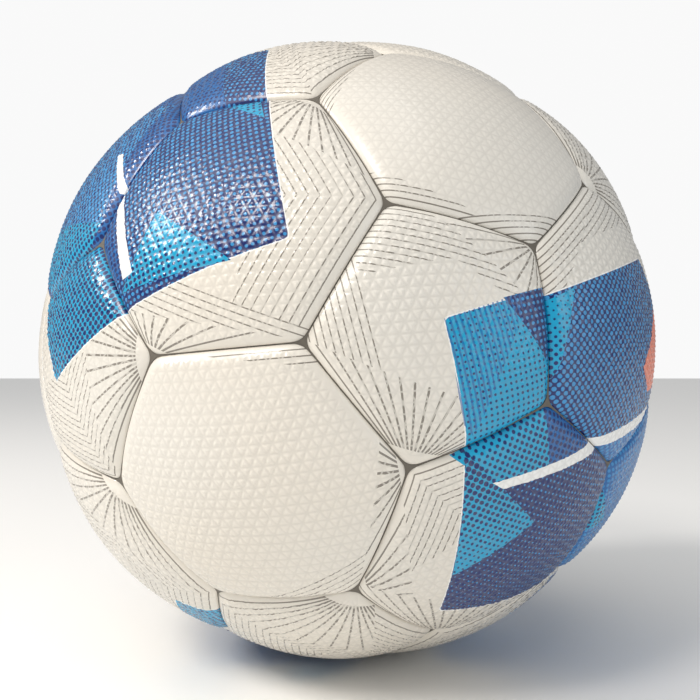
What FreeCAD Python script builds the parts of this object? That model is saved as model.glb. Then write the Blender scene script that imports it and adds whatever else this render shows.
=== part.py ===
import FreeCAD, Part
import math
import os
import Sketcher
from FreeCAD import Placement, Rotation, Vector

# A size 5 football of thirty-two bonded panels. The origin is the ball's centre and +Z is up.
# Every panel is drawn at the top of the ball, about +Z, and then turned to its own place.

# Driving sizes, in millimetres, and angles, in degrees.
drivingSizes = {
    "crownRadius": 110.0,        # ball's centre to the crown of any panel
    "seamDrop": 1.6,             # crown down to the middle of a panel's side
    "seamGap": 0.8,              # between the walls of two neighbouring panels
    "skinThickness": 1.4,        # cover skin and its cloth backing
    "padThickness": 3.9,         # foam pad under the crown
    "bondFilm": 0.1,             # glue film between two layers
    "panelCornerRadius": 4.0,    # rounding of a panel's corners, seen from above
    "rimRadius": 1.5,            # rounding where the skin turns down into the seam
    "beadHeight": 1.9,           # glue bead in the bottom of the seam
    "beadClearance": 0.1,        # glue bead to the panel walls
    "plyThickness": 0.8,         # one ply of rubberised cloth
    "windingThickness": 1.0,     # wound thread
    "bladderWall": 1.0,
    "valveStemRadius": 4.5,      # rubber stem that passes through all the layers
    "valveStemClearance": 0.2,   # stem to the holes in the layers
    "valveRecess": 1.2,          # top of the stem below the panel's crown
    "valveFlangeRadius": 13.0,   # flange bonded inside the bladder
    "valveFlangeThickness": 1.5,
    "valveBossLength": 10.0,     # boss that hangs into the bladder
    "valveFloor": 1.5,           # rubber left under the core
    "collarRecess": 0.5,         # top of the lining ring below the panel's crown
    "collarWall": 1.6,           # ring that lines the hole in the cover
    "collarFlangeRadius": 8.5,   # flange of the ring, under the foam pad
    "collarFlangeThickness": 0.8,
    "coreRadius": 2.4,           # silicone core pressed into the stem
    "coreClearance": 0.05,
    "ductRadius": 1.1,           # passage for an inflation needle
    "ductLength": 10.0,
    "ductMouthChamfer": 0.4,
    "slitWidth": 0.1,            # self-closing slit under the duct
    "slitSpan": 2.0,
    "balancePatchRadius": 15.0,  # weight that balances the valve
    "balancePatchThickness": 2.4,
    "frontYaw": 14.0,            # front pentagon turned to the right
    "frontPitch": 2.5,           # front pentagon tipped upwards
    "frontSpin": -22.2,          # a corner of the front pentagon, away from straight up
}

frontPolar = 0.0
backPolar = 180.0
goldenRoot = math.sqrt(5.0)
ringPentagonPolar = math.degrees(math.atan(2.0))
ringHexagonPolar = math.degrees(math.acos(math.sqrt((5.0 + 2.0 * goldenRoot) / 15.0)))
middleHexagonPolar = math.degrees(math.acos(math.sqrt((5.0 - 2.0 * goldenRoot) / 15.0)))

# Each ring of panels about the front pentagon: name, sides, angle from the front pole,
# how many, angle of the first about the pole, and the panel's own spin.
rings = [
    ("pentagon_front", 5, frontPolar, 1, 0.0, 36.0),
    ("hexagon_front", 6, ringHexagonPolar, 5, 36.0, 0.0),
    ("pentagon_front_ring", 5, ringPentagonPolar, 5, 0.0, 0.0),
    ("hexagon_front_middle", 6, middleHexagonPolar, 5, 36.0, 0.0),
    ("hexagon_back_middle", 6, backPolar - middleHexagonPolar, 5, 0.0, 0.0),
    ("pentagon_back_ring", 5, backPolar - ringPentagonPolar, 5, 36.0, 36.0),
    ("hexagon_back", 6, backPolar - ringHexagonPolar, 5, 0.0, 0.0),
    ("pentagon_back", 5, backPolar, 1, 0.0, 36.0),
]
valvePanel = ("hexagon_front_middle", 5)
shapeNames = {5: "pentagon", 6: "hexagon"}

wedgeFootShare = 0.45  # a wedge's foot and top, as shares of the crown radius
wedgeTopShare = 1.1
curveTolerance = 1e-4


def sideAngle(sides):
    """Angle at the ball's centre from a panel's axis to the middle of its side."""
    edge = 1.0
    ballRadius = edge * math.sqrt(58.0 + 18.0 * goldenRoot) / 4.0
    toCorner = edge / (2.0 * math.sin(math.pi / sides))
    toSide = edge / (2.0 * math.tan(math.pi / sides))
    toFace = math.sqrt(ballRadius ** 2 - toCorner ** 2)
    return math.degrees(math.atan2(toSide, toFace))


def allSizes():
    """The driving sizes and the ones that follow from them."""
    values = dict(drivingSizes)
    crown = values["crownRadius"]
    film = values["bondFilm"]
    side = crown - values["seamDrop"]
    for sides, shapeName in shapeNames.items():
        toSide = sideAngle(sides)
        along = side * math.cos(math.radians(toSide))
        centre = (crown ** 2 - side ** 2) / (2.0 * (crown - along))
        values[shapeName + "SideAngle"] = toSide
        values[shapeName + "DomeCentre"] = centre
        values[shapeName + "DomeRadius"] = crown - centre
    values["wedgeFoot"] = crown * wedgeFootShare
    values["wedgeTop"] = crown * wedgeTopShare
    values["panelBase"] = crown - values["skinThickness"] - values["padThickness"] - film
    values["outerPlyTop"] = values["panelBase"] - film
    values["innerPlyTop"] = values["outerPlyTop"] - values["plyThickness"] - film
    values["windingTop"] = values["innerPlyTop"] - values["plyThickness"] - film
    values["bladderTop"] = values["windingTop"] - values["windingThickness"] - film
    values["bladderInside"] = values["bladderTop"] - values["bladderWall"]
    values["stemHole"] = values["valveStemRadius"] + values["valveStemClearance"]
    values["collarRadius"] = values["stemHole"] + values["collarWall"]
    values["coverHole"] = values["collarRadius"] + values["valveStemClearance"]
    values["stemTop"] = crown - values["valveRecess"]
    values["flangeTop"] = values["bladderInside"] - film
    values["flangeBottom"] = values["flangeTop"] - values["valveFlangeThickness"]
    values["bossBottom"] = values["flangeBottom"] - values["valveBossLength"]
    values["collarTop"] = crown - values["collarRecess"]
    values["padHole"] = values["collarFlangeRadius"] + values["valveStemClearance"]
    values["coreBottom"] = values["bossBottom"] + values["valveFloor"]
    values["corePocket"] = values["coreRadius"] + values["coreClearance"]
    return values


def addSheet(doc, values):
    """Spreadsheet of every size, each cell with its own alias."""
    sheet = doc.addObject("Spreadsheet::Sheet", "Sizes")
    for row, (alias, value) in enumerate(values.items(), start=1):
        sheet.set("A%d" % row, alias)
        sheet.set("B%d" % row, repr(float(value)))
        sheet.setAlias("B%d" % row, alias)
    doc.recompute()
    return sheet


def originFeature(body, role):
    """The body's own origin plane or axis of that role."""
    for feature in body.Origin.OriginFeatures:
        if feature.Role == role:
            return feature
    raise ValueError("no origin feature " + role)


def addSketch(body, name, plane):
    sketch = body.newObject("Sketcher::SketchObject", name)
    sketch.AttachmentSupport = [(originFeature(body, plane), "")]
    sketch.MapMode = "FlatFace"
    return sketch


def bind(sketch, constraint, name, expression):
    """Add a constraint that follows an expression on the sheet."""
    index = sketch.addConstraint(constraint)
    sketch.renameConstraint(index, name)
    sketch.setExpression("Constraints." + name, expression)


def revolve(body, sketch, name):
    feature = body.newObject("PartDesign::Revolution", name)
    feature.Profile = sketch
    feature.ReferenceAxis = (sketch, ["V_Axis"])
    feature.Angle = 360.0
    sketch.Visibility = False
    return feature


def addWedge(doc, sheet, name, sides, depth, cornerRadius):
    """Prism that widens from near the ball's centre, its walls set in by a depth from the seam."""
    shapeName = shapeNames[sides]
    body = doc.addObject("PartDesign::Body", name)
    sketch = addSketch(body, name + "Outline", "XY_Plane")
    sketch.setExpression("AttachmentOffset.Base.z", "Sizes.wedgeFoot")
    lean = "tan(Sizes." + shapeName + "SideAngle * 1 deg)"
    upright = "cos(Sizes." + shapeName + "SideAngle * 1 deg)"
    inset = "(Sizes.seamGap / 2 + " + depth + ")"
    toSide = "(Sizes.wedgeFoot * " + lean + " - " + inset + " / " + upright + ")"
    toCorner = toSide + " / cos(180 deg / " + str(sides) + ")"
    radius = float(sheet.evalExpression(toCorner))
    circle = sketch.addGeometry(Part.Circle(Vector(), Vector(0, 0, 1), radius), True)
    sketch.addConstraint(Sketcher.Constraint("Coincident", circle, 3, -1, 1))
    bind(sketch, Sketcher.Constraint("Radius", circle, radius), "toCorner", toCorner)
    halfTurn = math.pi / sides
    corners = []
    for index in range(sides):
        turn = halfTurn * (2 * index - 1)
        corners.append(Vector(radius * math.cos(turn), radius * math.sin(turn), 0))
    lines = []
    for index in range(sides):
        line = Part.LineSegment(corners[index], corners[(index + 1) % sides])
        lines.append(sketch.addGeometry(line))
    for index, line in enumerate(lines):
        following = lines[(index + 1) % sides]
        sketch.addConstraint(Sketcher.Constraint("Coincident", line, 2, following, 1))
        sketch.addConstraint(Sketcher.Constraint("PointOnObject", line, 1, circle))
    for line in lines[1:]:
        sketch.addConstraint(Sketcher.Constraint("Equal", lines[0], line))
    sketch.addConstraint(Sketcher.Constraint("Vertical", lines[0]))
    pad = body.newObject("PartDesign::Pad", name + "Pad")
    pad.Profile = sketch
    pad.setExpression("Length", "Sizes.wedgeTop - Sizes.wedgeFoot")
    pad.setExpression("TaperAngle", "Sizes." + shapeName + "SideAngle")
    sketch.Visibility = False
    doc.recompute()
    fillet = body.newObject("PartDesign::Fillet", name + "Corners")
    fillet.Base = (pad, leaningEdges(pad.Shape))
    fillet.setExpression("Radius", cornerRadius)
    return body


def leaningEdges(shape):
    """Edges that run from the wedge's foot to its top."""
    names = []
    for index, edge in enumerate(shape.Edges, start=1):
        rise = abs(edge.Vertexes[0].Z - edge.Vertexes[-1].Z)
        if rise > curveTolerance:
            names.append("Edge%d" % index)
    return names


def addBall(doc, name, radius, centre):
    """Sphere on a panel's axis, its poles and its seam line kept away from the panel."""
    ball = doc.addObject("Part::Sphere", name)
    ball.setExpression("Radius", radius)
    ball.Placement = Placement(Vector(), Rotation(Vector(1, 0, 0), 90) * Rotation(Vector(0, 0, 1), -90))
    ball.setExpression("Placement.Base.z", centre)
    return ball


def join(doc, kind, name, base, tool):
    """Part boolean of two objects."""
    result = doc.addObject(kind, name)
    result.Base = base
    result.Tool = tool
    return result


def addDomed(doc, sheet, name, sides, depth, cornerRadius):
    """Wedge cut off by a panel's dome, the dome sunk by the same depth as the walls."""
    shapeName = shapeNames[sides]
    wedge = addWedge(doc, sheet, name + "Wedge", sides, depth, cornerRadius)
    dome = addBall(doc, name + "Dome", "Sizes." + shapeName + "DomeRadius - " + depth,
                   "Sizes." + shapeName + "DomeCentre")
    return join(doc, "Part::Common", name + "Domed", wedge, dome)


def roundRim(doc, sheet, name, base, sides):
    """Round the edge where a panel's dome meets its walls."""
    doc.recompute()
    dome = sphereFace(base.Shape, sheet.get(shapeNames[sides] + "DomeRadius"))
    radius = sheet.get("rimRadius")
    rim = doc.addObject("Part::Fillet", name)
    rim.Base = base
    rim.Edges = [(index, radius, radius) for index in edgeNumbers(base.Shape, dome)]
    return rim


def sphereFace(shape, radius):
    """Face of the shape that lies on a sphere of that radius."""
    for face in shape.Faces:
        surface = face.Surface
        if surface.TypeId == "Part::GeomSphere" and abs(surface.Radius - radius) < curveTolerance:
            return face
    raise ValueError("no spherical face of radius %.3f" % radius)


def edgeNumbers(shape, face):
    """Numbers of the shape's edges that border the face."""
    numbers = []
    for index, edge in enumerate(shape.Edges, start=1):
        if any(edge.isSame(border) for border in face.Edges):
            numbers.append(index)
    return numbers


def addDrill(doc, name, radius):
    """Cylinder along +Z that opens a hole through a panel or pad."""
    drill = doc.addObject("Part::Cylinder", name)
    drill.setExpression("Radius", radius)
    drill.setExpression("Height", "Sizes.wedgeTop")
    return drill


def addLayer(doc, label, top, bottom):
    """Hollow round layer of the ball, drilled for the valve's stem."""
    outside = addBall(doc, label + "_outside", top, "0")
    inside = addBall(doc, label + "_inside", bottom, "0")
    shell = join(doc, "Part::Cut", label + "_shell", outside, inside)
    drill = addDrill(doc, label + "_drill", "Sizes.stemHole")
    return join(doc, "Part::Cut", label, shell, drill)


def addTurned(doc, sheet, label, corners):
    """Body turned about +Z from corners given as distance from the axis and height."""
    body = doc.addObject("PartDesign::Body", label)
    sketch = addSketch(body, label + "_profile", "XZ_Plane")
    points = []
    for outward, height in corners:
        points.append(Vector(float(sheet.evalExpression(outward)),
                             float(sheet.evalExpression(height)), 0))
    count = len(points)
    for index in range(count):
        sketch.addGeometry(Part.LineSegment(points[index], points[(index + 1) % count]))
    for index, (outward, height) in enumerate(corners):
        previous = (index - 1) % count
        sketch.addConstraint(Sketcher.Constraint("Coincident", previous, 2, index, 1))
        if outward == "0":
            sketch.addConstraint(Sketcher.Constraint("PointOnObject", index, 1, -2))
        else:
            bind(sketch, Sketcher.Constraint("DistanceX", -1, 1, index, 1, points[index].x),
                 "outward%d" % index, outward)
        bind(sketch, Sketcher.Constraint("DistanceY", -1, 1, index, 1, points[index].y),
             "height%d" % index, height)
    revolve(body, sketch, label + "_turned")
    return body


def onSphere(radius, outward):
    """Height of a sphere about the ball's centre, at a distance from the axis."""
    return "sqrt((" + radius + ")^2 - (" + outward + ")^2)"


def addValveBody(doc, sheet):
    """Rubber stem with the flange that is bonded inside the bladder and the boss below it."""
    stem = "Sizes.valveStemRadius"
    edge = "Sizes.valveFlangeRadius"
    topAtStem = onSphere("Sizes.flangeTop", stem)
    topAtEdge = onSphere("Sizes.flangeTop", edge)
    return addTurned(doc, sheet, "valve_body", [
        ("0", "Sizes.bossBottom"),
        (stem, "Sizes.bossBottom"),
        (stem, topAtStem + " - Sizes.valveFlangeThickness"),
        (edge, topAtEdge + " - Sizes.valveFlangeThickness / 2"),
        (edge, topAtEdge),
        (stem, topAtStem),
        (stem, "Sizes.stemTop"),
        ("Sizes.corePocket", "Sizes.stemTop"),
        ("Sizes.corePocket", "Sizes.coreBottom"),
        ("0", "Sizes.coreBottom"),
    ])


def addValveCollar(doc, sheet):
    """Ring that lines the hole in the cover, its flange resting on the cloth."""
    flangeTop = "Sizes.panelBase + Sizes.collarFlangeThickness"
    return addTurned(doc, sheet, "valve_collar", [
        ("Sizes.stemHole", "Sizes.panelBase"),
        ("Sizes.collarFlangeRadius", "Sizes.panelBase"),
        ("Sizes.collarFlangeRadius", flangeTop),
        ("Sizes.collarRadius", flangeTop),
        ("Sizes.collarRadius", "Sizes.collarTop"),
        ("Sizes.stemHole + Sizes.collarWall / 3", "Sizes.collarTop"),
        ("Sizes.stemHole", "Sizes.collarTop - Sizes.collarWall / 3"),
    ])


def addValveCore(doc, sheet):
    """Silicone core with the needle's duct, and under it a slit that closes by itself."""
    core = "Sizes.coreRadius"
    duct = "Sizes.ductRadius"
    foot = "Sizes.coreBottom + Sizes.bondFilm"
    body = addTurned(doc, sheet, "valve_core", [
        ("0", foot),
        (core, foot),
        (core, "Sizes.stemTop"),
        (duct + " + Sizes.ductMouthChamfer", "Sizes.stemTop"),
        (duct, "Sizes.stemTop - Sizes.ductMouthChamfer"),
        (duct, "Sizes.stemTop - Sizes.ductLength"),
        ("0", "Sizes.stemTop - Sizes.ductLength - Sizes.ductRadius"),
    ])
    sketch = addSketch(body, "SlitOutline", "XY_Plane")
    halfSpan = sheet.get("slitSpan") / 2.0
    halfWidth = sheet.get("slitWidth") / 2.0
    corners = [
        Vector(-halfSpan, -halfWidth, 0),
        Vector(halfSpan, -halfWidth, 0),
        Vector(halfSpan, halfWidth, 0),
        Vector(-halfSpan, halfWidth, 0),
    ]
    for index in range(4):
        sketch.addGeometry(Part.LineSegment(corners[index], corners[(index + 1) % 4]))
    for index in range(4):
        sketch.addConstraint(Sketcher.Constraint("Coincident", index, 2, (index + 1) % 4, 1))
    for index in (0, 2):
        sketch.addConstraint(Sketcher.Constraint("Horizontal", index))
        sketch.addConstraint(Sketcher.Constraint("Vertical", index + 1))
    sketch.addConstraint(Sketcher.Constraint("Symmetric", 0, 1, 2, 1, -1, 1))
    bind(sketch, Sketcher.Constraint("DistanceX", 0, 1, 0, 2, 2 * halfSpan), "span",
         "Sizes.slitSpan")
    bind(sketch, Sketcher.Constraint("DistanceY", 1, 1, 1, 2, 2 * halfWidth), "width",
         "Sizes.slitWidth")
    slit = body.newObject("PartDesign::Pocket", "Slit")
    slit.Profile = sketch
    slit.SideType = "Symmetric"
    slit.setExpression("Length", "2 * Sizes.wedgeTop")
    sketch.Visibility = False
    return body


def addBalancePatch(doc, sheet):
    """Rubber weight bonded inside the bladder, opposite the valve."""
    edge = "Sizes.balancePatchRadius"
    foot = "Sizes.balancePatchRadius - Sizes.balancePatchThickness"
    edgeTop = onSphere("Sizes.flangeTop", edge)
    return addTurned(doc, sheet, "balance_patch", [
        ("0", "Sizes.flangeTop - Sizes.balancePatchThickness"),
        (foot, edgeTop + " - Sizes.balancePatchThickness"),
        (edge, edgeTop + " - Sizes.balancePatchThickness / 2"),
        (edge, edgeTop),
        ("0", "Sizes.flangeTop"),
    ])


def addSeamBead(doc, sheet, places):
    """Web of glue in the bottom of every seam, a round layer less the panels' own prisms."""
    cutters = {}
    for sides, shapeName in shapeNames.items():
        cutters[sides] = addWedge(doc, sheet, shapeName + "BeadCutter", sides,
                                  "(0 - Sizes.beadClearance)",
                                  "Sizes.panelCornerRadius + Sizes.beadClearance")
    doc.recompute()
    base = sheet.get("panelBase")
    web = Part.makeSphere(base + sheet.get("beadHeight")).cut(Part.makeSphere(base))
    prisms = []
    for _, _, sides, turn in places:
        prism = cutters[sides].Shape.copy()
        prism.Placement = Placement(Vector(), turn)
        prisms.append(prism)
    bead = doc.addObject("Part::Feature", "seam_bead")
    bead.Shape = web.cut(prisms)
    return bead


def turnOf(ringPolar, azimuth, spin):
    """Turn that takes a panel from +Z to its place on the ball."""
    upAxis = Vector(0, 0, 1)
    tipAxis = Vector(0, 1, 0)
    onBall = Rotation(upAxis, azimuth) * Rotation(tipAxis, ringPolar) * Rotation(upAxis, spin)
    faceFront = Rotation(Vector(1, 0, 0), 90)
    spinFront = Rotation(tipAxis, drivingSizes["frontSpin"] - 90.0)
    pitch = Rotation(Vector(1, 0, 0), -drivingSizes["frontPitch"])
    yaw = Rotation(upAxis, drivingSizes["frontYaw"])
    return yaw * pitch * spinFront * faceFront * onBall


def panelPlaces():
    """Every panel as ring name, number in the ring, sides and turn."""
    places = []
    for ringName, sides, polar, count, first, spin in rings:
        for number in range(1, count + 1):
            azimuth = first + 360.0 / count * (number - 1)
            places.append((ringName, number, sides, turnOf(polar, azimuth, spin)))
    return places


class PanelMasters:
    """Pieces that every panel of one outline shares, drawn once at the top of the ball."""

    def __init__(self, doc, sheet, sides):
        name = shapeNames[sides]
        skin = "Sizes.skinThickness"
        padDepth = "(Sizes.skinThickness + Sizes.bondFilm)"
        core = addBall(doc, name + "Core", "Sizes.panelBase", "0")
        cover = addDomed(doc, sheet, name + "Cover", sides, "0", "Sizes.panelCornerRadius")
        block = join(doc, "Part::Cut", name + "Block", cover, core)
        self.blank = roundRim(doc, sheet, name + "Blank", block, sides)
        self.hollow = addDomed(doc, sheet, name + "Hollow", sides, skin,
                               "Sizes.panelCornerRadius - " + skin)
        pad = addDomed(doc, sheet, name + "Pad", sides, padDepth,
                       "Sizes.panelCornerRadius - " + padDepth)
        self.pad = join(doc, "Part::Cut", name + "PadBlock", pad, core)


def drilled(doc, name, base, radius):
    """The same piece with the valve's hole in it."""
    drill = addDrill(doc, name + "Drill", radius)
    return join(doc, "Part::Cut", name, base, drill)


def addPanels(doc, sheet, places):
    """Cover panels, one node each, and their foam pads, one node to a ring."""
    masters = {sides: PanelMasters(doc, sheet, sides) for sides in shapeNames}
    valveBlank = drilled(doc, "ValveBlank", masters[6].blank, "Sizes.coverHole")
    valvePad = drilled(doc, "ValvePad", masters[6].pad, "Sizes.padHole")
    nodes = []
    pads = {}
    for ringName, number, sides, turn in places:
        holdsValve = (ringName, number) == valvePanel
        count = sum(1 for place in places if place[0] == ringName)
        label = ringName if count == 1 else "%s_%d" % (ringName, number)
        blank = valveBlank if holdsValve else masters[sides].blank
        cover = join(doc, "Part::Cut", "cover_" + label, blank, masters[sides].hollow)
        cover.Placement = Placement(Vector(), turn)
        nodes.append(cover)
        pad = doc.addObject("Part::Compound", "pad_" + label)
        pad.Links = [valvePad if holdsValve else masters[sides].pad]
        pad.Placement = Placement(Vector(), turn)
        pads.setdefault(ringName, []).append(pad)
    for ringName, members in pads.items():
        ring = doc.addObject("Part::Compound", "foam_pads_" + ringName)
        ring.Links = members
        nodes.append(ring)
    return nodes


def addLayers(doc):
    """Cloth plies, thread winding and bladder, from the outside in."""
    return [
        addLayer(doc, "cloth_ply_outer", "Sizes.outerPlyTop", "Sizes.outerPlyTop - Sizes.plyThickness"),
        addLayer(doc, "cloth_ply_inner", "Sizes.innerPlyTop", "Sizes.innerPlyTop - Sizes.plyThickness"),
        addLayer(doc, "thread_winding", "Sizes.windingTop", "Sizes.windingTop - Sizes.windingThickness"),
        addLayer(doc, "bladder", "Sizes.bladderTop", "Sizes.bladderInside"),
    ]


def checkDocument(doc, nodes):
    """Stop if any object failed, or any node is empty or invalid."""
    for item in doc.Objects:
        for state in item.State:
            if state in ("Invalid", "Error"):
                raise RuntimeError("%s is %s" % (item.Label, state))
    for node in nodes:
        if node.Shape.isNull() or not node.Shape.isValid():
            raise RuntimeError("%s has no valid shape" % node.Label)
        if not node.Shape.Solids:
            raise RuntimeError("%s has no solid" % node.Label)


def exportNodes(nodes):
    os.makedirs("parts", exist_ok=True)
    for node in nodes:
        node.Shape.exportStep("parts/%s.step" % node.Label)
        print(node.Label, len(node.Shape.Solids), round(node.Shape.Volume, 1))


def main():
    doc = FreeCAD.newDocument("football")
    sheet = addSheet(doc, allSizes())
    places = panelPlaces()
    valveTurn = next(place[3] for place in places if (place[0], place[1]) == valvePanel)
    nodes = addPanels(doc, sheet, places)
    turned = addLayers(doc)
    turned.append(addValveBody(doc, sheet))
    turned.append(addValveCollar(doc, sheet))
    turned.append(addValveCore(doc, sheet))
    for node in turned:
        node.Placement = Placement(Vector(), valveTurn)
    patch = addBalancePatch(doc, sheet)
    patch.Placement = Placement(Vector(), valveTurn * Rotation(Vector(1, 0, 0), 180))
    bead = addSeamBead(doc, sheet, places)
    doc.recompute()
    nodes += turned + [patch, bead]
    checkDocument(doc, nodes)
    exportNodes(nodes)


main()
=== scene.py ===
from math import acos, atan2, cos, radians, sin, sqrt

import bmesh
import bpy
from mathutils import Matrix, Vector, noise


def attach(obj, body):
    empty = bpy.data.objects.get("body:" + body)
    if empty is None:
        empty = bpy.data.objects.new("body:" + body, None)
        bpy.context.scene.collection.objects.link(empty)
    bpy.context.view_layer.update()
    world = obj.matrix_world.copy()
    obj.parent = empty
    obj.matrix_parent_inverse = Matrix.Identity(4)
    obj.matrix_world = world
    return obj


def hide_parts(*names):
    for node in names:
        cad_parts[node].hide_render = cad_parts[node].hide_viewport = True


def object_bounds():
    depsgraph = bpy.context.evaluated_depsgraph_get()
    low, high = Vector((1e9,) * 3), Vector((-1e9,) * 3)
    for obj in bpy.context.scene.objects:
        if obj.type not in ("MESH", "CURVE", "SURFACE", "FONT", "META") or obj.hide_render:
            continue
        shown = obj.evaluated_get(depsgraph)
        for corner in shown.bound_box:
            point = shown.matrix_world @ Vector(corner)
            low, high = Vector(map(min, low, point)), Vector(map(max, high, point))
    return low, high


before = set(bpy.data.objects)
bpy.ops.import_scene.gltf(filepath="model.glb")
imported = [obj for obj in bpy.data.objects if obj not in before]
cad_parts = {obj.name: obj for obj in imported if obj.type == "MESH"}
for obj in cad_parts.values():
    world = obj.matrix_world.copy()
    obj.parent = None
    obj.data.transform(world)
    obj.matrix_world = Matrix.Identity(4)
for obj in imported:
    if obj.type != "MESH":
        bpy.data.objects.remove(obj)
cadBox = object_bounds()    # the CAD box, before anything is hidden or added
millimetre = 0.001
print("frame loaded")

# How the ball stands, and where each panel is on it.
ballStand = {
    "yaw": 14.0,
    "pitch": 2.5,
    "spin": -22.2,
    "crown": 110 * millimetre,
    "halfTurnAzimuth": 18.0,    # a two-fold axis between the two middle rings
    "valvePanel": "hexagon_front_middle_5",
}

# sides, tilt from the front, how many, first azimuth, own spin
panelRings = {
    "pentagon_front": (5, 0.0, 1, 0.0, 36.0),
    "hexagon_front": (6, 37.377, 5, 36.0, 0.0),
    "pentagon_front_ring": (5, 63.435, 5, 0.0, 0.0),
    "hexagon_front_middle": (6, 79.188, 5, 36.0, 0.0),
    "hexagon_back_middle": (6, 100.812, 5, 0.0, 0.0),
    "pentagon_back_ring": (5, 116.565, 5, 36.0, 36.0),
    "hexagon_back": (6, 142.623, 5, 0.0, 0.0),
    "pentagon_back": (5, 180.0, 1, 0.0, 36.0),
}


def turnAbout(axis, degrees):
    return Matrix.Rotation(radians(degrees), 3, axis)


wholeTurn = (turnAbout("Z", ballStand["yaw"]) @ turnAbout("X", -ballStand["pitch"])
             @ turnAbout("Y", ballStand["spin"] - 90) @ turnAbout("X", 90))
axisAngle = radians(ballStand["halfTurnAzimuth"])
spinAxis = Vector((cos(axisAngle), sin(axisAngle), 0))
halfTurn = wholeTurn @ Matrix.Rotation(radians(180), 3, spinAxis) @ wholeTurn.transposed()

panels = {}
for ring, (sides, tilt, count, first, spin) in panelRings.items():
    for number in range(count):
        name = f"{ring}_{number + 1}" if count > 1 else ring
        azimuth = first + 360 / count * number
        onBall = turnAbout("Z", azimuth) @ turnAbout("Y", tilt) @ turnAbout("Z", spin)
        panels[name] = {"sides": sides, "turn": wholeTurn @ onBall}

# The back half carries the front half's prints, turned half round.
fronts = [name for name in panels if "front" in name]
for name, panel in panels.items():
    panel["print"] = name
    panel["place"] = Matrix.Identity(3)
    if name not in fronts:
        turned = halfTurn @ panel["turn"]
        panel["print"] = max(fronts, key=lambda f: panels[f]["turn"].col[2] @ turned.col[2])
        panel["place"] = panels[panel["print"]]["turn"].transposed() @ turned

# The embossed cover panels.
coverPanel = {
    "seamDrop": 1.6 * millimetre,      # how far a dome falls to its side's middle
    "skin": 1.4 * millimetre,
    "trayBase": 104.6 * millimetre,
    "studPitch": 3.4 * millimetre,
    "studCells": 14,                   # studs along one side of the blank
    "studSteps": 6,                    # mesh steps along a stud
    "studHeight": 0.32 * millimetre,
    "rollWidth": 6.3 * millimetre,
    "rollDepth": 1.9 * millimetre,
    "halfGap": 0.14 * millimetre,
    "cornerRadius": 1.5 * millimetre,
    "rimLoops": (0.25, 0.6, 1.2, 2.2),
    "sideAngle": {5: 16.472, 6: 20.905},
    "cornerAngle": {5: 20.08, 6: 23.80},
    "rowAngle": {5: 36.0, 6: 30.0},
    "valveHole": 6.5 * millimetre,
    "buckle": 0.25 * millimetre,       # how uneven the stuffing leaves it
    "buckleScale": 4.2,
    "fineBuckle": 0.25,                # share of the buckle in its finer waves
    "fineBuckleScale": 17,
    "studSlope": 1 / 3,                # part of a row's height that slopes
    "studFade": (0.8 * millimetre, 3.2 * millimetre),    # from the seam
    "holeFade": (1.0 * millimetre, 3.5 * millimetre),    # from the valve's hole
    "holeEase": 2.2,                   # where mesh rings round the hole turn six-sided
    "cornerBlend": 3 * millimetre,     # how widely two sides blend into one gap
    "cornerReach": 1.13,               # corner circle's distance in, in radii
    "cornerBends": (-18, 0, 18),       # cuts that round a corner, in degrees
    "cutTolerance": 0.08 * millimetre,
    "rimWeld": 1.2 * millimetre,
    "liningSteps": (1.0, 0.75, 0.5, 0.25),
}
crown = ballStand["crown"]
softStuds = {"hexagon_front_5": 0.35, "hexagon_back_middle_2": 0.35}


def easeStep(value, low, high):
    t = min(max((value - low) / (high - low), 0.0), 1.0)
    return t * t * (3 - 2 * t)


def sideNormals(sides):
    lean = radians(coverPanel["sideAngle"][sides])
    normals = []
    for side in range(sides):
        around = radians(360 / sides * side)
        normals.append(-Vector((cos(lean) * cos(around), cos(lean) * sin(around), -sin(lean))))
    return normals


def seamDistance(direction, normals):
    gaps = sorted((direction * crown).dot(n) - coverPanel["halfGap"] for n in normals)
    blend = coverPanel["cornerBlend"]
    meet = max(blend - (gaps[1] - gaps[0]), 0.0) / blend
    return max(gaps[0] - meet * meet * blend / 4, 0.0)


def domeRadius(direction, sides):
    lean = radians(coverPanel["sideAngle"][sides])
    low = crown - coverPanel["seamDrop"]
    centre = (crown ** 2 - low ** 2) / (2 * (crown - low * cos(lean)))
    radius = crown - centre
    across = centre * direction.z
    return across + sqrt(across * across + radius ** 2 - centre ** 2)


def rolledRadius(direction, sides, normals):
    away = seamDistance(direction, normals) / coverPanel["rollWidth"]
    drop = 0.0 if away >= 1 else 1 - sqrt(1 - (1 - away) ** 2)
    return domeRadius(direction, sides) - coverPanel["rollDepth"] * drop


def flatPlace(direction):
    arc = acos(min(max(direction.z, -1.0), 1.0)) * crown
    around = atan2(direction.y, direction.x)
    return Vector((arc * cos(around), arc * sin(around)))


def studShare(flat, rowAngle):
    rowHeight = coverPanel["studPitch"] * sqrt(3) / 2
    nearest = rowHeight
    for turn in (0, 60, 120):
        across = radians(rowAngle + 90 + turn)
        rows = (flat.x * cos(across) + flat.y * sin(across)) / rowHeight
        nearest = min(nearest, abs(rows - round(rows)) * rowHeight)
    return min(nearest / (rowHeight * coverPanel["studSlope"]), 1.0)


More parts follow.
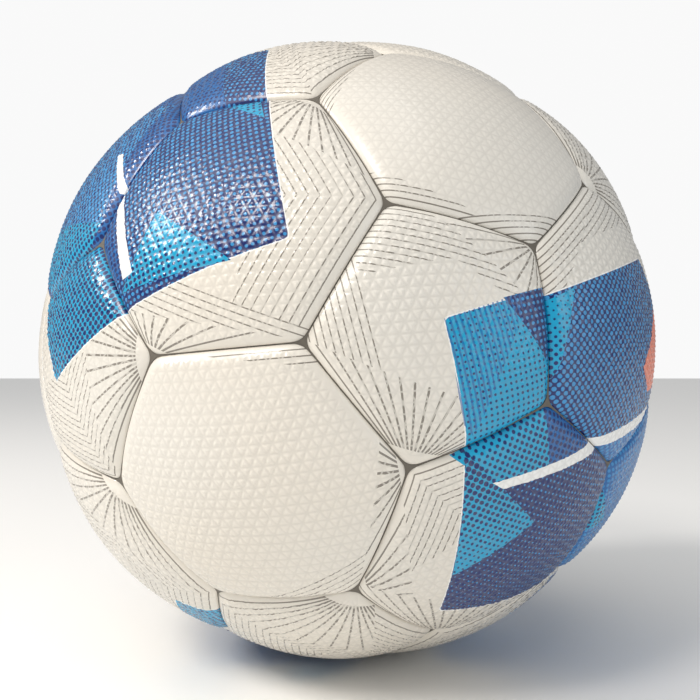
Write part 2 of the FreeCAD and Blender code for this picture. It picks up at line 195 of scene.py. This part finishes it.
def makePanelMaster(sides, hasHole):
    normals = sideNormals(sides)
    rowAngle = coverPanel["rowAngle"][sides]
    bm = bmesh.new()
    rise = bm.verts.layers.float.new("rise")
    groove = bm.verts.layers.float.new("groove")
    cells = coverPanel["studCells"]
    bmesh.ops.create_circle(bm, cap_ends=True, cap_tris=True, segments=6,
                            radius=cells * coverPanel["studPitch"])
    bmesh.ops.rotate(bm, verts=bm.verts, cent=(0, 0, 0),
                     matrix=turnAbout("Z", rowAngle - 30))
    bmesh.ops.subdivide_edges(bm, edges=bm.edges[:], use_grid_fill=True,
                              cuts=cells * coverPanel["studSteps"] - 1)
    for v in bm.verts:
        arc = v.co.length
        around = atan2(v.co.y, v.co.x)
        lean = arc / crown
        v.co = Vector((sin(lean) * cos(around), sin(lean) * sin(around), cos(lean))) * crown

    def cut(place, normal, clear):
        bmesh.ops.bisect_plane(bm, geom=bm.verts[:] + bm.edges[:] + bm.faces[:],
                               dist=coverPanel["cutTolerance"], plane_co=place,
                               plane_no=normal, clear_outer=clear)

    for n in normals:
        cut(n * coverPanel["halfGap"], -n, True)
    halfCorner = 180 / sides
    roundLean = coverPanel["cornerRadius"] / crown
    for corner in range(sides):
        around = radians(halfCorner + 360 / sides * corner)
        lean = radians(coverPanel["cornerAngle"][sides]) - coverPanel["cornerReach"] * roundLean
        centre = Vector((sin(lean) * cos(around), sin(lean) * sin(around), cos(lean)))
        outward = Vector((cos(lean) * cos(around), cos(lean) * sin(around), -sin(lean)))
        for bend in coverPanel["cornerBends"]:
            away = Matrix.Rotation(radians(bend), 3, centre) @ outward
            cut(centre * crown + away * coverPanel["cornerRadius"], away, True)
    for loop in coverPanel["rimLoops"]:
        for n in normals:
            cut(n * (coverPanel["halfGap"] + loop * millimetre), -n, False)

    hole = coverPanel["valveHole"]
    for v in bm.verts:
        direction = v.co.normalized()
        flat = flatPlace(direction)
        share = studShare(flat, rowAngle)
        fade = easeStep(seamDistance(direction, normals), *coverPanel["studFade"])
        if hasHole:
            fade *= easeStep(flat.length, *(hole + away for away in coverPanel["holeFade"]))
            hexNorm = max(abs(flat.x * cos(radians(a)) + flat.y * sin(radians(a)))
                          for a in (0, 60, 120))
            if flat.length > 0:
                keep = easeStep(hexNorm, hole + coverPanel["holeFade"][0],
                                coverPanel["holeEase"] * hole)
                arc = hexNorm + (flat.length - hexNorm) * keep
                flat = flat.normalized() * arc
                lean = arc / crown
                direction = Vector((sin(lean) * flat.x / arc, sin(lean) * flat.y / arc, cos(lean)))
        v[groove] = (1 - share) * fade
        v[rise] = share * fade * coverPanel["studHeight"]
        v.co = direction * (rolledRadius(direction, sides, normals) + v[rise])
    if hasHole:
        inside = [v for v in bm.verts if flatPlace(v.co.normalized()).length < hole]
        bmesh.ops.delete(bm, geom=inside, context="VERTS")
        bmesh.ops.delete(bm, geom=[v for v in bm.verts if not v.link_faces], context="VERTS")

    def extrudeLoop(edges):
        made = bmesh.ops.extrude_edge_only(bm, edges=edges)["geom"]
        verts = [g for g in made if isinstance(g, bmesh.types.BMVert)]
        for v in verts:
            v[rise] = 0.0
            v[groove] = 0.0
        return verts, [g for g in made if isinstance(g, bmesh.types.BMEdge) and g.is_boundary]

    def ofRim(edge):
        return edge.verts[0].co.xy.length > 3 * hole

    rim = [e for e in bm.edges if e.is_boundary and ofRim(e)]
    verts, rim = extrudeLoop(rim)
    for v in verts:
        v.co = v.co.normalized() * coverPanel["trayBase"]
    verts, rim = extrudeLoop(rim)
    for v in verts:
        v.co.xy *= 1 - coverPanel["skin"] / v.co.xy.length
        v.co = v.co.normalized() * coverPanel["trayBase"]
    bmesh.ops.remove_doubles(bm, verts=verts, dist=coverPanel["rimWeld"])
    rim = [e for e in bm.edges if e.is_boundary and ofRim(e)]
    liningSteps = coverPanel["liningSteps"]
    for shrink in liningSteps[:-1] if hasHole else liningSteps:
        verts, rim = extrudeLoop(rim)
        step = shrink if shrink == 1.0 else shrink / (shrink + liningSteps[-1])
        for v in verts:
            v.co.xy *= step
            away = Vector((v.co.x, v.co.y, sqrt(crown ** 2 - v.co.xy.length ** 2))).normalized()
            v.co = away * (rolledRadius(away, sides, normals) - coverPanel["skin"])
    if hasHole:
        edge = [e for e in bm.edges if e.is_boundary and e not in rim]
        verts, edge = extrudeLoop(edge)
        for v in verts:
            v.co = v.co.normalized() * (v.co.length - coverPanel["skin"])
        bmesh.ops.bridge_loops(bm, edges=edge + rim)
    else:
        lid = bmesh.ops.contextual_create(bm, geom=rim)["faces"]
        middle = bmesh.ops.poke(bm, faces=lid)["verts"]
        for v in middle:
            v.co = Vector((0, 0, crown - coverPanel["skin"]))
    bmesh.ops.recalc_face_normals(bm, faces=bm.faces[:])
    for face in bm.faces:
        face.smooth = True
    master = bpy.data.meshes.new("panel master")
    bm.to_mesh(master)
    bm.free()
    return master


def makePanel(name, master):
    panel = panels[name]
    bm = bmesh.new()
    bm.from_mesh(master)
    rise = bm.verts.layers.float["rise"]
    place = bm.verts.layers.float_vector.new("printPlace")
    flatMap = bm.loops.layers.uv.new("flat cut")
    softness = softStuds.get(name, 1.0)
    for v in bm.verts:
        direction = v.co.normalized()
        here = panel["turn"] @ direction
        lift = (softness - 1) * v[rise]
        wave = noise.noise(here * coverPanel["buckleScale"])
        wave += coverPanel["fineBuckle"] * noise.noise(here * coverPanel["fineBuckleScale"])
        lift += coverPanel["buckle"] * wave
        v[place] = panel["place"] @ direction
        v.co = here * (v.co.length + lift)
    for face in bm.faces:
        for loop in face.loops:
            loop[flatMap].uv = flatPlace(loop.vert[place].normalized()) / millimetre
    mesh = bpy.data.meshes.new("panel_" + name)
    bm.to_mesh(mesh)
    bm.free()
    piece = bpy.data.objects.new("panel_" + name, mesh)
    bpy.context.collection.objects.link(piece)
    mesh.materials.append(coverFinish(panel["print"]))
    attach(piece, "root")
    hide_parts("cover_" + name)
    return piece


def inkColour(text):
    parts = [int(text[i:i + 2], 16) / 255 for i in (0, 2, 4)]
    return tuple(c / 12.92 if c <= 0.04045 else ((c + 0.055) / 1.055) ** 2.4 for c in parts) + (1,)


def newFinish(name, colour, roughness):
    finish = bpy.data.materials.new(name)
    finish.use_nodes = True
    shader = finish.node_tree.nodes["Principled BSDF"]
    shader.inputs["Base Color"].default_value = inkColour(colour)
    shader.inputs["Roughness"].default_value = roughness
    return finish, finish.node_tree, shader


def fill(tree, socket, value):
    if isinstance(value, bpy.types.NodeSocket):
        tree.links.new(value, socket)
    else:
        socket.default_value = value


def calc(tree, operation, *values):
    node = tree.nodes.new("ShaderNodeMath")
    node.operation = operation
    for socket, value in zip(node.inputs, values):
        fill(tree, socket, value)
    return node.outputs[0]


def mixColour(tree, share, under, over):
    node = tree.nodes.new("ShaderNodeMix")
    node.data_type = "RGBA"
    fill(tree, node.inputs["Factor"], share)
    fill(tree, node.inputs[6], under)
    fill(tree, node.inputs[7], over)
    return node.outputs[2]


def mixValue(tree, share, under, over):
    node = tree.nodes.new("ShaderNodeMix")
    fill(tree, node.inputs["Factor"], share)
    fill(tree, node.inputs[2], under)
    fill(tree, node.inputs[3], over)
    return node.outputs[0]


def readAttribute(tree, name, output):
    node = tree.nodes.new("ShaderNodeAttribute")
    node.attribute_name = name
    return node.outputs[output]


def spread(tree, value, low, high, newLow, newHigh):
    node = tree.nodes.new("ShaderNodeMapRange")
    for socket, part in zip(node.inputs, (value, low, high, newLow, newHigh)):
        fill(tree, socket, part)
    return node.outputs[0]


def addBump(tree, shader, height, distance, strength=1.0):
    bump = tree.nodes.new("ShaderNodeBump")
    bump.inputs["Strength"].default_value = strength
    bump.inputs["Distance"].default_value = distance
    tree.links.new(height, bump.inputs["Height"])
    tree.links.new(bump.outputs["Normal"], shader.inputs["Normal"])


def noiseOf(tree, vector, scale, detail=2.0):
    node = tree.nodes.new("ShaderNodeTexNoise")
    node.inputs["Scale"].default_value = scale
    node.inputs["Detail"].default_value = detail
    tree.links.new(vector, node.inputs["Vector"])
    return node.outputs["Fac"]


coverPrint = {
    "ground": "e8dece",
    "groundCool": "dedfdc",
    "line": "665f55",
    "navy": "031f63",
    "blue": "0661a6",
    "cyan": "07a0cd",
    "dot": "3590cc",
    "white": "f4f4f2",
    "orange": "f08468",
    # grey of the painted shade laid into the emboss grooves
    "paintedGrooveShade": "8c8880",
    "lineWidth": 0.36,    # lengths are in mm
    "rayStart": 0.55,    # mm from the corner where rays begin, for each ray
    "lineSkip": (0.62, 0.95, 0.85, 0.25),    # groove from, to, ink left there
    "edge": 0.35,
    "dotPitch": 1.75,
    "dotTurn": 45,
    "dotSoftness": 0.04,
    "stripePitch": 1.45,
    "stripeShare": 0.2,
    "stripeInk": 0.75,
    "toneScale": 9,
    # groove range and share of painted shade darkening the groove bottoms
    "paintedShadeInGroove": (0.5, 1.0, 0.0, 0.14),
    "scuffScale": 60,
    "scuffRoughness": (0.35, 0.7, 0.22, 0.36),
    "coat": 0.25,
    "coatRoughness": 0.16,
    "grainScale": 1600,
    "grainDepth": 0.02 * millimetre,
    "grainStrength": 0.5,
}

# Each panel's print, in the order it is laid down. Corners are longitude and
# latitude in whole degrees on the ball as it stands. A sheet is (kind, corners,
# rounding in mm, ground, dots, dot radius at the first and at the third corner).
sheets = {
    "hexagon_front_1": [
        ("sheet", [(-8, 15), (-20, 50), (-80, 40), (-35, 5)], 2.5, "navy", "dot", 0.26, 0.44),
        ("sheet", [(-35, 10), (-45, 30), (-70, 30), (-60, 10)], 0, "blue", "navy", 0.40, 0.34),
        ("sheet", [(-30, 20), (-16, 12), (-35, 8)], 0, "cyan", "navy", 0.20, 0.42),
        ("sheet", [(-15, 36), (-20, 45), (-35, 43)], 0, "cyan", "navy", 0.20, 0.45),
        ("plain", [(-43, 25), (-41, 25), (-33, 11), (-35, 10)], 0, "white"),
    ],
    "hexagon_front_middle_1": [
        ("sheet", [(-30, 0), (-30, 70), (-120, 60), (-100, 0)], 0, "blue", "navy", 0.42, 0.30),
        ("sheet", [(-45, 20), (-45, 45), (-85, 40), (-80, 15)], 0, "navy", "dot", 0.45, 0.3),
        ("plain", [(-50, 33), (-48, 33), (-41, 25), (-43, 25)], 0, "white"),
        ("sheet", [(-55, 0), (-45, 20), (-75, 20)], 0, "cyan", "navy", 0.36, 0.36),
    ],
    "pentagon_front_ring_1": [
        ("sheet", [(-15, 37), (-27, 60), (-75, 60), (-60, 25)], 0, "navy", "dot", 0.24, 0.42),
        ("sheet", [(-25, 40), (-45, 60), (-80, 45), (-50, 30)], 0, "blue", "navy", 0.30, 0.38),
    ],
    "pentagon_front_ring_2": [
        ("sheet", [(-33, 6), (-52, -5), (-62, 10), (-45, 30)], 0, "cyan", "navy", 0.44, 0.36),
        ("plain", [(-62, 10), (-62, -12), (-75, -5), (-75, 10)], 0, "white"),
    ],
    "pentagon_front": [
        ("sheet", [(13, 4), (40, 11), (45, -25), (19, -20)], 2.5, "cyan", "navy", 0.16, 0.36),
        ("sheet", [(22, 7), (35, 10), (30, -2)], 0, "navy", "dot", 0.26, 0.30),
        ("stripes", [(13, 4), (26, 8), (18, -12), (16, -10)], 0, "blue"),
    ],
    "hexagon_front_4": [
        ("sheet", [(28, 7), (60, 15), (100, -20), (25, -20)], 0, "navy", "dot", 0.40, 0.26),
        ("sheet", [(28, 6), (41, 11), (32, -3), (30, -10)], 0, "cyan", "navy", 0.12, 0.36),
        ("plain", [(65, 7), (55, -3), (60, -7), (85, -4)], 0, "orange"),
        ("plain", [(40, -14), (65, -9), (65, -11), (40, -16)], 0, "white"),
        ("sheet", [(40, -16), (65, -11), (65, -25), (45, -25)], 0, "blue", "dot", 0.36, 0.3),
    ],
    "hexagon_front_3": [
        ("sheet", [(20, -44), (17, -14), (60, -5), (75, -35)], 2.5, "navy", "dot", 0.14, 0.26),
        ("sheet", [(15, -15), (22, -19), (32, -17), (30, -8)], 0, "cyan", "navy", 0.26, 0.36),
        ("sheet", [(30, -8), (32, -17), (48, -14), (46, -8)], 0, "blue", "navy", 0.34, 0.42),
        ("sheet", [(17, -14), (32, -26), (19, -35)], 0, "cyan", "navy", 0.50, 0.18),
        ("plain", [(22, -19), (46, -13), (46, -15), (24, -20)], 0, "white"),
    ],
    "pentagon_front_ring_4": [
        ("sheet", [(30, -60), (30, 0), (100, 0), (100, -60)], 0, "blue", "dot", 0.36, 0.28),
        ("sheet", [(42, -36), (48, -18), (60, -30)], 0, "cyan", "navy", 0.40, 0.30),
        ("plain", [(42, -13), (75, -7), (75, -8), (42, -15)], 0, "white"),
    ],
    "hexagon_front_middle_4": [
        ("sheet", [(60, 15), (110, 20), (120, -40), (60, -40)], 0, "navy", "dot", 0.38, 0.26),
        ("plain", [(62, 10), (50, -3), (60, -8), (95, -4)], 0, "orange"),
    ],
    "pentagon_front_ring_3": [
        ("sheet", [(-30, -66), (-10, -70), (30, -80), (-50, -85)], 0, "cyan", "navy", 0.3, 0.5),
    ],
    "hexagon_front_middle_2": [
        ("sheet", [(-45, -46), (-25, -49), (-30, -70), (-80, -60)], 0, "cyan", "navy", 0.3, 0.5),
    ],
    "hexagon_front_middle_3": [
        ("sheet", [(60, -44), (100, -40), (120, -70), (60, -70)], 0, "navy", "dot", 0.3, 0.5),
    ],
}

# Fine grey line work, laid in triangles at the panels' own corners. Each is
# (kind, corner number, mm along the side before it, mm along the side after
# it, measure). The measure is the number of rays of a fan, and the gap in mm
# between other lines: along the side before or after, nested round the corner,
# or parallel to the triangle's long edge.
lineWork = {
    "pentagon_front": [
        ("before", 4, 50, 26, 1.9),
        ("after", 3, 26, 60, 1.9),
        ("fan", 3, 24, 34, 9),
        ("edge", 0, 26, 44, 2.0),
        ("fan", 1, 44, 36, 17),
    ],
    "hexagon_front_1": [
        ("nested", 3, 90, 60, 2.6),
        ("fan", 4, 36, 50, 15),
        ("edge", 1, 40, 50, 2.0),
        ("fan", 1, 16, 44, 9),
    ],
    "pentagon_front_ring_2": [
        ("nested", 1, 70, 60, 1.9),
        ("fan", 2, 40, 44, 15),
        ("after", 0, 20, 30, 1.8),
    ],
    "hexagon_front_2": [
        ("after", 3, 8, 34, 1.8),
        ("edge", 1, 30, 22, 2.0),
        ("fan", 2, 40, 12, 9),
    ],
    "hexagon_front_3": [
        ("nested", 3, 70, 44, 1.9),
        ("fan", 4, 36, 30, 11),
        ("fan", 5, 50, 60, 19),
    ],
    "hexagon_front_4": [
        ("after", 1, 24, 60, 1.8),
        ("before", 2, 40, 20, 1.7),
    ],
    "hexagon_front_5": [
        ("after", 2, 10, 36, 1.7),
        ("edge", 3, 24, 14, 1.7),
        ("before", 1, 30, 9, 1.4),
    ],
    "pentagon_front_ring_1": [
        ("nested", 2, 70, 70, 2.0),
        ("fan", 3, 44, 60, 15),
    ],
    "pentagon_front_ring_5": [
        ("nested", 1, 70, 80, 1.9),
        ("fan", 2, 60, 44, 15),
    ],
    "pentagon_front_ring_3": [
        ("nested", 3, 80, 70, 2.2),
        ("fan", 2, 60, 50, 17),
        ("after", 1, 40, 34, 2.0),
    ],
    "hexagon_front_middle_2": [
        ("nested", 4, 80, 80, 2.2),
        ("nested", 2, 70, 70, 2.4),
        ("fan", 3, 44, 60, 15),
    ],
    "hexagon_front_middle_3": [
        ("nested", 3, 80, 80, 2.2),
        ("fan", 2, 50, 44, 13),
    ],
}


coverFinishes = {}


def coverFinish(name):
    if name in coverFinishes:
        return coverFinishes[name]
    finish, tree, shader = newFinish("printed cover, " + name.replace("_", " "),
                                     coverPrint["ground"], 0.30)
    towardLocal = panels[name]["turn"].transposed()
    place = readAttribute(tree, "printPlace", "Vector")
    groove = readAttribute(tree, "groove", "Fac")
    position = tree.nodes.new("ShaderNodeTexCoord").outputs["Object"]
    flat = tree.nodes.new("ShaderNodeUVMap")
    flat.uv_map = "flat cut"

    def across(normal):
        node = tree.nodes.new("ShaderNodeVectorMath")
        node.operation = "DOT_PRODUCT"
        tree.links.new(place, node.inputs[0])
        node.inputs[1].default_value = normal
        return node.outputs["Value"]

    def corners(places):
        found = []
        for longitude, latitude in places:
            a, b = radians(longitude), radians(latitude)
            found.append(towardLocal @ Vector((sin(a) * cos(b), -cos(a) * cos(b), sin(b))))
        middle = sum(found, Vector()).normalized()
        normals = []
        for here, there in zip(found, found[1:] + found[:1]):
            normal = here.cross(there).normalized()
            if normal.dot(middle) < 0:
                normal.negate()
            normals.append(normal * (crown / millimetre))
        return found, normals

    def inside(normals, rounding):    # distance in from the nearest side, in mm
        depth = None
        for normal in normals:
            side = across(normal)
            if depth is None:
                depth = side
            elif rounding:
                depth = calc(tree, "SMOOTH_MIN", depth, side, rounding)
            else:
                depth = calc(tree, "MINIMUM", depth, side)
        return depth

    # cream ground, a little uneven, cooler in places
    tone = noiseOf(tree, position, coverPrint["toneScale"])
    colour = mixColour(tree, tone, inkColour(coverPrint["ground"]),
                       inkColour(coverPrint["groundCool"]))

    lines = None
    sides = panels[name]["sides"]
    bend = sin(radians(360 / sides))    # how fast one side leaves the other at a corner
    normals = [normal * (crown / millimetre) for normal in sideNormals(sides)]
    for kind, corner, before, after, measure in lineWork.get(name, []):
        fromBefore = across(normals[corner])
        fromAfter = across(normals[(corner + 1) % sides])
        used = calc(tree, "ADD", calc(tree, "DIVIDE", fromBefore, after * bend),
                    calc(tree, "DIVIDE", fromAfter, before * bend))
        zone = calc(tree, "LESS_THAN", used, 1.0)
        if kind == "fan":
            wedge = calc(tree, "ADD", fromBefore, fromAfter)
            step = calc(tree, "MULTIPLY", calc(tree, "DIVIDE", fromBefore, wedge), float(measure))
            away = calc(tree, "MULTIPLY", calc(tree, "PINGPONG", step, 0.5), wedge)
            drawn = calc(tree, "LESS_THAN", away, coverPrint["lineWidth"] / 2 * measure)
            apart = calc(tree, "GREATER_THAN", wedge, coverPrint["rayStart"] * measure)
            drawn = calc(tree, "MULTIPLY", drawn, apart)
        else:
            if kind == "before":
                depth = fromBefore
            elif kind == "after":
                depth = fromAfter
            elif kind == "nested":
                depth = calc(tree, "MINIMUM", fromBefore, fromAfter)
            else:
                opening = radians(180 - 360 / sides)
                longEdge = sqrt(before ** 2 + after ** 2 - 2 * before * after * cos(opening))
                depth = calc(tree, "MULTIPLY", used, before * after * bend / longEdge)
            wave = calc(tree, "PINGPONG", calc(tree, "MULTIPLY", depth, 1 / measure), 0.5)
            drawn = calc(tree, "LESS_THAN", wave, coverPrint["lineWidth"] / 2 / measure)
        if lines is None:
            lines = calc(tree, "MULTIPLY", drawn, zone)
        else:
            lines = mixValue(tree, zone, lines, drawn)
    if lines is not None:
        # the ink skips the bottoms of the embossed grooves
        skip = spread(tree, groove, *coverPrint["lineSkip"])
        lines = calc(tree, "MULTIPLY", lines, skip)
        colour = mixColour(tree, lines, colour, inkColour(coverPrint["line"]))

    if name in sheets:
        turned = tree.nodes.new("ShaderNodeMapping")
        turned.inputs["Rotation"].default_value = (0, 0, radians(coverPrint["dotTurn"]))
        tree.links.new(flat.outputs["UV"], turned.inputs["Vector"])
        dots = tree.nodes.new("ShaderNodeTexVoronoi")
        dots.voronoi_dimensions = "2D"
        dots.inputs["Scale"].default_value = 1 / coverPrint["dotPitch"]
        dots.inputs["Randomness"].default_value = 0.0
        tree.links.new(turned.outputs["Vector"], dots.inputs["Vector"])
        apart = dots.outputs["Distance"]
        for sheet in sheets[name]:
            kind, places, rounding, ground = sheet[:4]
            found, normals = corners(places)
            depth = inside(normals, rounding)
            zone = calc(tree, "GREATER_THAN", depth, 0.0)
            laid = inkColour(coverPrint[ground])
            if kind == "sheet":
                dotInk, near, far = sheet[4:]
                run = (found[2] - found[0]).normalized()
                size = spread(tree, across(run), found[0].dot(run), found[2].dot(run), near, far)
                soft = coverPrint["dotSoftness"]
                spot = spread(tree, calc(tree, "SUBTRACT", size, apart), -soft, soft, 0.0, 1.0)
                laid = mixColour(tree, spot, laid, inkColour(coverPrint[dotInk]))
                if sheet is sheets[name][0]:    # a thin white edge round the first
                    halo = calc(tree, "GREATER_THAN", depth, -coverPrint["edge"])
                    colour = mixColour(tree, halo, colour, inkColour(coverPrint["white"]))
            if kind == "stripes":
                run = (found[1] - found[0]).normalized() * (crown / millimetre)
                level = calc(tree, "MULTIPLY", across(run), 1 / coverPrint["stripePitch"])
                wave = calc(tree, "PINGPONG", level, 0.5)
                inked = calc(tree, "LESS_THAN", wave, coverPrint["stripeShare"])
                zone = calc(tree, "MULTIPLY", calc(tree, "MULTIPLY", zone, inked),
                            coverPrint["stripeInk"])
            colour = mixColour(tree, zone, colour, laid)

    # painted shade: the bottoms of the embossed grooves are darkened toward grey, standing in for
    # the shade that falls in them
    shade = spread(tree, groove, *coverPrint["paintedShadeInGroove"])
    paintedGrooveShade = mixColour(tree, shade, colour, inkColour(coverPrint["paintedGrooveShade"]))
    tree.links.new(paintedGrooveShade, shader.inputs["Base Color"])
    scuff = noiseOf(tree, position, coverPrint["scuffScale"], 3)
    tree.links.new(spread(tree, scuff, *coverPrint["scuffRoughness"]), shader.inputs["Roughness"])
    shader.inputs["Coat Weight"].default_value = coverPrint["coat"]
    shader.inputs["Coat Roughness"].default_value = coverPrint["coatRoughness"]
    grain = noiseOf(tree, position, coverPrint["grainScale"])
    addBump(tree, shader, grain, coverPrint["grainDepth"], coverPrint["grainStrength"])
    coverFinishes[name] = finish
    return finish


masters = {}
for name, panel in panels.items():
    kind = (panel["sides"], name == ballStand["valvePanel"])
    if kind not in masters:
        masters[kind] = makePanelMaster(*kind)
        print("panel master with", kind[0], "sides,", len(masters[kind].polygons), "faces")
    makePanel(name, masters[kind])
print("32 cover panels made")


def innerFinish(name, colour, roughness, grain, depth, pattern="noise"):
    finish, tree, shader = newFinish(name, colour, roughness)
    position = tree.nodes.new("ShaderNodeTexCoord").outputs["Object"]
    if pattern == "cells":
        cells = tree.nodes.new("ShaderNodeTexVoronoi")
        cells.inputs["Scale"].default_value = grain
        tree.links.new(position, cells.inputs["Vector"])
        relief = cells.outputs["Distance"]
    elif pattern == "weave":
        waves = []
        for direction in ("X", "Z"):
            wave = tree.nodes.new("ShaderNodeTexWave")
            wave.bands_direction = direction
            wave.inputs["Scale"].default_value = grain
            tree.links.new(position, wave.inputs["Vector"])
            waves.append(wave.outputs["Fac"])
        relief = calc(tree, "MULTIPLY", *waves)
    else:
        relief = noiseOf(tree, position, grain, 4)
    base = inkColour(colour)
    dark = tuple(c * 0.72 for c in base[:3]) + (1,)
    tree.links.new(mixColour(tree, relief, base, dark), shader.inputs["Base Color"])
    worn = noiseOf(tree, position, 40, 2)
    tree.links.new(spread(tree, worn, 0.3, 0.7, roughness - 0.08, roughness + 0.08),
                   shader.inputs["Roughness"])
    addBump(tree, shader, relief, depth * millimetre)
    return finish


innerFinishes = {
    "foam_pads": ("closed-cell foam", "e9e5da", 0.85, 1400, 0.12, "cells"),
    "cloth_ply": ("woven lining cloth", "d8d2c2", 0.9, 500, 0.08, "weave"),
    "thread_winding": ("wound nylon thread", "e6e2d6", 0.6, 300, 0.15, "weave"),
    "bladder": ("butyl rubber", "1d1d1f", 0.55, 900, 0.03, "noise"),
    "valve_body": ("black valve rubber", "222224", 0.5, 1200, 0.03, "noise"),
    "valve_collar": ("white valve rubber", "dcdad4", 0.42, 1500, 0.02, "noise"),
    "valve_core": ("grey silicone", "8f9296", 0.35, 1800, 0.015, "noise"),
    "balance_patch": ("patch rubber", "2b2a2a", 0.6, 1000, 0.04, "noise"),
    "seam_bead": ("seam glue", "6b655b", 0.55, 700, 0.05, "noise"),
}
madeFinishes = {}
for node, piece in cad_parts.items():
    for start, recipe in innerFinishes.items():
        if node.startswith(start):
            if start not in madeFinishes:
                madeFinishes[start] = innerFinish(*recipe)
            piece.data.materials.clear()
            piece.data.materials.append(madeFinishes[start])
print("inner layers and valve finished")

studio = {
    "floorHalf": 3.0,
    "lens": 44.7,
    "cameraPlace": (0.0009, -0.3263, -0.0003),
    "skyPlace": (-0.35, -0.35, 1.1),
    "skyPower": 0.85,
    "skySpread": 70,    # degrees, wide and even, so the floor stays pale
    "surround": 0.34,
    "backdrop": 0.95,
}

# place, size, power, colour
lamps = {
    "key": ((-0.55, -0.75, 0.85), 0.30, 5.5, (1.0, 0.93, 0.85)),
    "rake": ((-1.05, -0.25, 0.75), 0.25, 7.0, (1.0, 0.95, 0.89)),
    "fill": ((0.95, -0.55, 0.25), 0.6, 1.6, (0.88, 0.94, 1.0)),
}

floorMesh = bpy.data.meshes.new("floor")
bm = bmesh.new()
bmesh.ops.create_grid(bm, x_segments=1, y_segments=1, size=studio["floorHalf"])
bmesh.ops.translate(bm, verts=bm.verts, vec=(0, 0, cadBox[0].z))
bm.to_mesh(floorMesh)
bm.free()
floor = bpy.data.objects.new("floor", floorMesh)
bpy.context.collection.objects.link(floor)
floorMesh.materials.append(newFinish("pale floor", "fbfbfa", 0.7)[0])


def addLight(name, place, size, power, colour):
    data = bpy.data.lights.new(name, "AREA")
    data.size = size
    data.energy = power
    data.color = colour
    lamp = bpy.data.objects.new(name, data)
    bpy.context.collection.objects.link(lamp)
    lamp.location = place
    lamp.rotation_euler = (-Vector(place)).to_track_quat("-Z", "Y").to_euler()


for lampName, recipe in lamps.items():
    addLight(lampName, *recipe)
sunData = bpy.data.lights.new("sky light", "SUN")
sunData.energy = studio["skyPower"]
sunData.angle = radians(studio["skySpread"])
sky = bpy.data.objects.new("sky light", sunData)
bpy.context.collection.objects.link(sky)
sky.rotation_euler = (-Vector(studio["skyPlace"])).to_track_quat("-Z", "Y").to_euler()

world = bpy.data.worlds.new("studio")
bpy.context.scene.world = world
world.use_nodes = True
worldTree = world.node_tree
surround = worldTree.nodes["Background"]
surround.inputs["Color"].default_value = (1, 1, 1, 1)
rays = worldTree.nodes.new("ShaderNodeLightPath")
strength = spread(worldTree, rays.outputs["Is Camera Ray"], 0, 1,
                  studio["surround"], studio["backdrop"])
worldTree.links.new(strength, surround.inputs["Strength"])

cameraData = bpy.data.cameras.new("camera")
cameraData.lens = studio["lens"]
cameraData.clip_start = 0.01
camera = bpy.data.objects.new("camera", cameraData)
bpy.context.collection.objects.link(camera)
camera.location = studio["cameraPlace"]
camera.rotation_euler = (radians(90), 0, 0)
bpy.context.scene.camera = camera
print("floor, lights and camera set")
bpy.context.scene.view_settings.view_transform = "Standard"    # printed inks stay saturated
